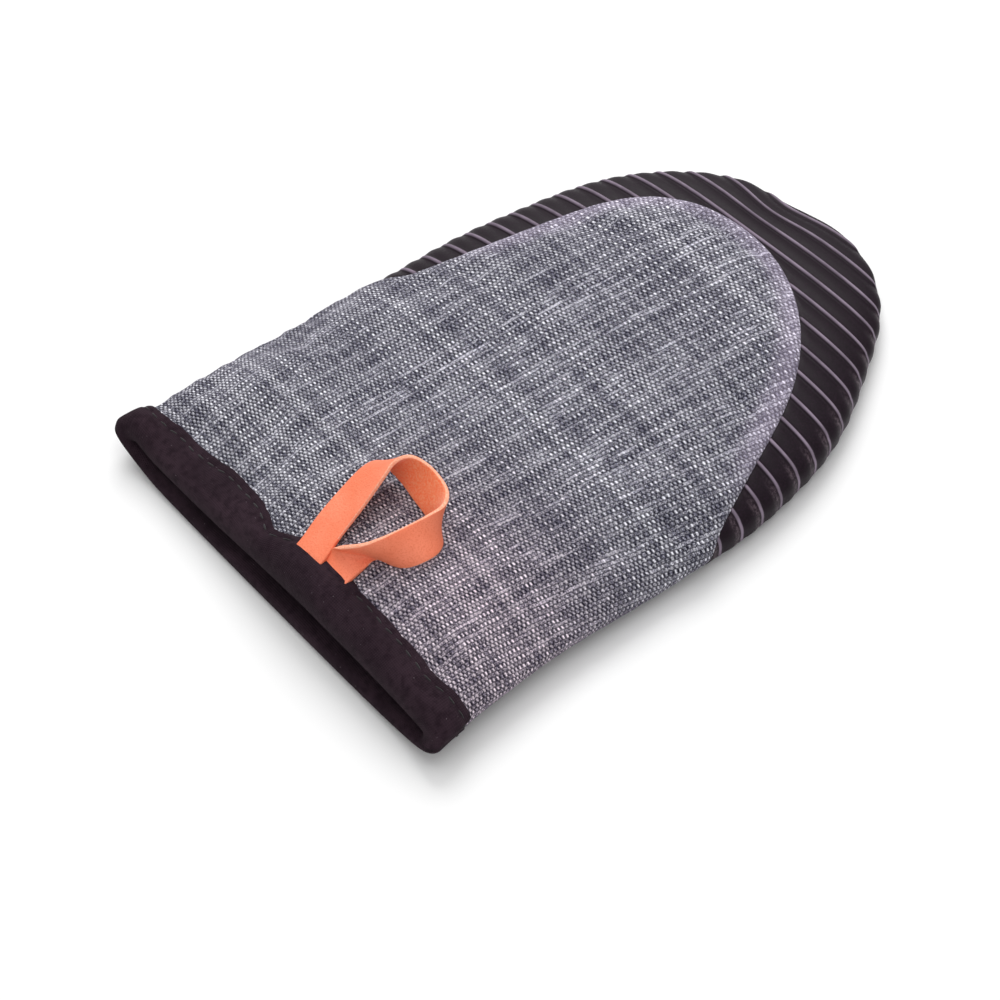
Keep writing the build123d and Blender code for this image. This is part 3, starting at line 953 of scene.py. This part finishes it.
def binding_stitches(material):
    turn = even_turns(outer_form, [CUFF_Y + 8.0], [0.0], [2 * np.pi], np.linspace(0, 1, 700))[0]
    y = binding_edge(turn) - STITCH_INSET
    normal = outward(y, turn)
    path = outer_form(y, turn) + normal * tape_lift(y, turn, 0.0)[:, None]
    path[:, 2] = np.maximum(path[:, 2], 2 * THREAD)
    past = int(np.argmax((path[:, 0] < TAILS_LEFT - 2) & (normal[:, 2] > 0)))
    path, normal = np.roll(path[:-1], -past, axis=0), np.roll(normal[:-1], -past, axis=0)
    clear = int(np.argmax((np.arange(len(path)) > len(path) // 2) & (path[:, 0] < TAILS_RIGHT + 2) & (normal[:, 2] > 0)))
    path, normal = path[:clear], normal[:clear]
    return stitches("binding_stitches", path, normal, STITCH_LENGTH, STITCH_PITCH, THREAD, material)


def seam_stitches(material):
    """The hidden seam that holds the back's edge down on the silicone, just inside that edge."""
    y = layer_rows(CUFF_Y + 14, BACK_REACH - 1.5, 200)
    right, left = edge_turn(y, RIGHT, 1.5), np.pi - edge_turn(y, LEFT, 1.5)
    turn = np.concatenate([right, left[::-1]])
    y = np.concatenate([y, y[::-1]])
    normal = outward(y, turn)
    path = outer_form(y, turn) + normal * 0.3
    return stitches("seam_stitches", path, normal, STITCH_LENGTH, STITCH_PITCH, THREAD, material)


# === leather strap ====================================================================================
def strap():
    count = 260
    inner_edge = catmull([s[0] for s in STRAP_STATIONS], count)
    outer_edge = catmull([s[1] for s in STRAP_STATIONS], count)
    for _ in range(10):
        for edge in (inner_edge, outer_edge):
            edge[1:-1] = (edge[:-2] + 2 * edge[1:-1] + edge[2:]) / 4
    middle, wide = (inner_edge + outer_edge) / 2, outer_edge - inner_edge
    width = np.linalg.norm(wide, axis=1)
    ahead = unit(np.gradient(middle, axis=0))
    wide = unit(wide)
    face = unit(np.cross(wide, ahead))
    # rounded-rectangle section: share of half width, share of half thickness
    corner = 0.38
    profile = []
    half_thick = STRAP_THICKNESS / 2
    for quarter, (sx, sz) in enumerate(((1, 1), (-1, 1), (-1, -1), (1, -1))):
        for angle in np.linspace(0, QUARTER, 4) + quarter * QUARTER:
            profile.append((sx, math.cos(angle) * corner, sz * (half_thick - corner) + math.sin(angle) * corner))
        if quarter in (0, 2):
            for share in np.linspace(1, -1, 9)[1:-1]:
                profile.append((sx * share, 0, sz * half_thick))
    rings = []
    for m, w, a, n in zip(middle, wide, width, face):
        ring = []
        for sx, dx, z in profile:
            place = sx * (a / 2 - corner) + dx
            ring.append(m + w * place + n * z)
        rings.append(ring)
    grid = np.array(rings)
    rows, columns = grid.shape[:2]
    faces = grid_faces(rows, columns, closed=True).tolist()
    faces.append(list(range(columns))[::-1])
    faces.append([(rows - 1) * columns + k for k in range(columns)])
    centre, station = (middle.max(0) + middle.min(0)) / 2, rows // 2
    grain_side = np.sign(face[station] @ (middle[station] - centre))
    sides = strap_sides([z for _, _, z in profile], half_thick, grain_side)
    # Painted shade: short of STRAP_BASE_Y the pale cut edges take the grain's darker finish.
    base_sides = [GRAIN if side == CUT_EDGE else side for side in sides]
    finish_numbers = [k for y in middle[:-1, 1] for k in (base_sides if y < STRAP_BASE_Y else sides)] + [CUT_EDGE] * 2
    finishes = [grain_finish(), flesh_finish(), cut_edge_finish()]
    return make_mesh("leather_strap", grid.reshape(-1, 3), faces, finishes, finish_numbers=finish_numbers)


def strap_sides(heights, half_thick, grain_side):
    """Finish number of each face round the profile: grain outside, flesh inside, pale cut edges."""
    numbers = []
    for z, following in zip(heights, heights[1:] + heights[:1]):
        if min(abs(z), abs(following)) < half_thick - 0.15 or z * following < 0:
            numbers.append(CUT_EDGE)
        else:
            numbers.append(GRAIN if z * grain_side > 0 else FLESH)
    return numbers


# === stage ============================================================================================
def floor():
    size, steps = 3000.0, 24
    line = np.linspace(-size, size, steps)
    x, y = np.meshgrid(line, line, indexing="ij")
    points = np.stack([x, y, np.zeros_like(x)], -1).reshape(-1, 3)
    piece = make_mesh("floor", points, grid_faces(steps, steps, flip=False), [floor_finish()])


def area_light(name, place, target, size, power):
    data = bpy.data.lights.new(name, "AREA")
    data.shape = "DISK"
    data.size = size
    data.energy = power
    lamp = bpy.data.objects.new(name, data)
    lamp.location = place
    lamp.rotation_mode = "QUATERNION"
    lamp.rotation_quaternion = (Vector(target) - Vector(place)).to_track_quat("-Z", "Y")
    bpy.context.scene.collection.objects.link(lamp)


def lights():
    area_light("key", (-0.75, 0.62, 1.05), (0, 0, 0), 0.9, 12.3)
    area_light("fill", (1.1, -0.9, 1.3), (0, 0, 0), 1.4, 2.0)
    area_light("overhead", (0.0, 0.1, 1.6), (0, 0, 0), 1.6, 7.5)
    world = bpy.data.worlds.new("studio")
    world.use_nodes = True
    world.node_tree.nodes["Background"].inputs["Color"].default_value = (1, 1, 1, 1)
    world.node_tree.nodes["Background"].inputs["Strength"].default_value = 0.62
    bpy.context.scene.world = world


def camera():
    a, e = math.radians(CAMERA_AZIMUTH), math.radians(CAMERA_ELEVATION)
    back = Vector((math.sin(a) * math.cos(e), -math.cos(a) * math.cos(e), math.sin(e)))
    data = bpy.data.cameras.new("camera")
    data.lens, data.sensor_width = CAMERA_LENS, 36.0
    data.clip_start, data.clip_end = 0.05, 20
    view = bpy.data.objects.new("camera", data)
    view.location = (Vector(CAMERA_TARGET) + back * CAMERA_DISTANCE) * MM
    view.rotation_mode = "QUATERNION"
    view.rotation_quaternion = (-back).to_track_quat("-Z", "Y")
    bpy.context.scene.collection.objects.link(view)
    bpy.context.scene.camera = view


# === putting it together ==============================================================================
def attach(piece, slot, *nodes, fill=None):
    """The piece rides on the mitt and stands for its CAD nodes, which are hidden."""
    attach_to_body(piece, "mitt")
    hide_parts(*nodes)


def build():
    black = thread_finish("black_thread", srgb(12, 7, 10), srgb(20, 12, 17))
    attach(palm_sheet(), "silicone", "palm_sheet")
    attach(back_cover(), "back_fabric", "back_panel", fill=0.5)
    attach(back_wadding(), "wadding", "back_wadding", fill=0.5)
    attach(palm_wadding(), "wadding", "palm_wadding", fill=0.5)
    attach(lining_half("back_lining_cloth", 1), "lining", "back_lining")
    attach(lining_half("palm_lining_cloth", -1), "lining", "palm_lining")
    attach(binding(), "binding_tape", "cuff_binding")
    attach(binding_stitches(black), "black_thread", "binding_topstitch")
    attach(seam_stitches(black), "black_thread", "seam_thread")
    band = strap()
    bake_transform(band)
    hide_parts("hang_loop", "loop_tails")


floor()
lights()
camera()
build()
bpy.context.scene.view_settings.view_transform = "Standard"
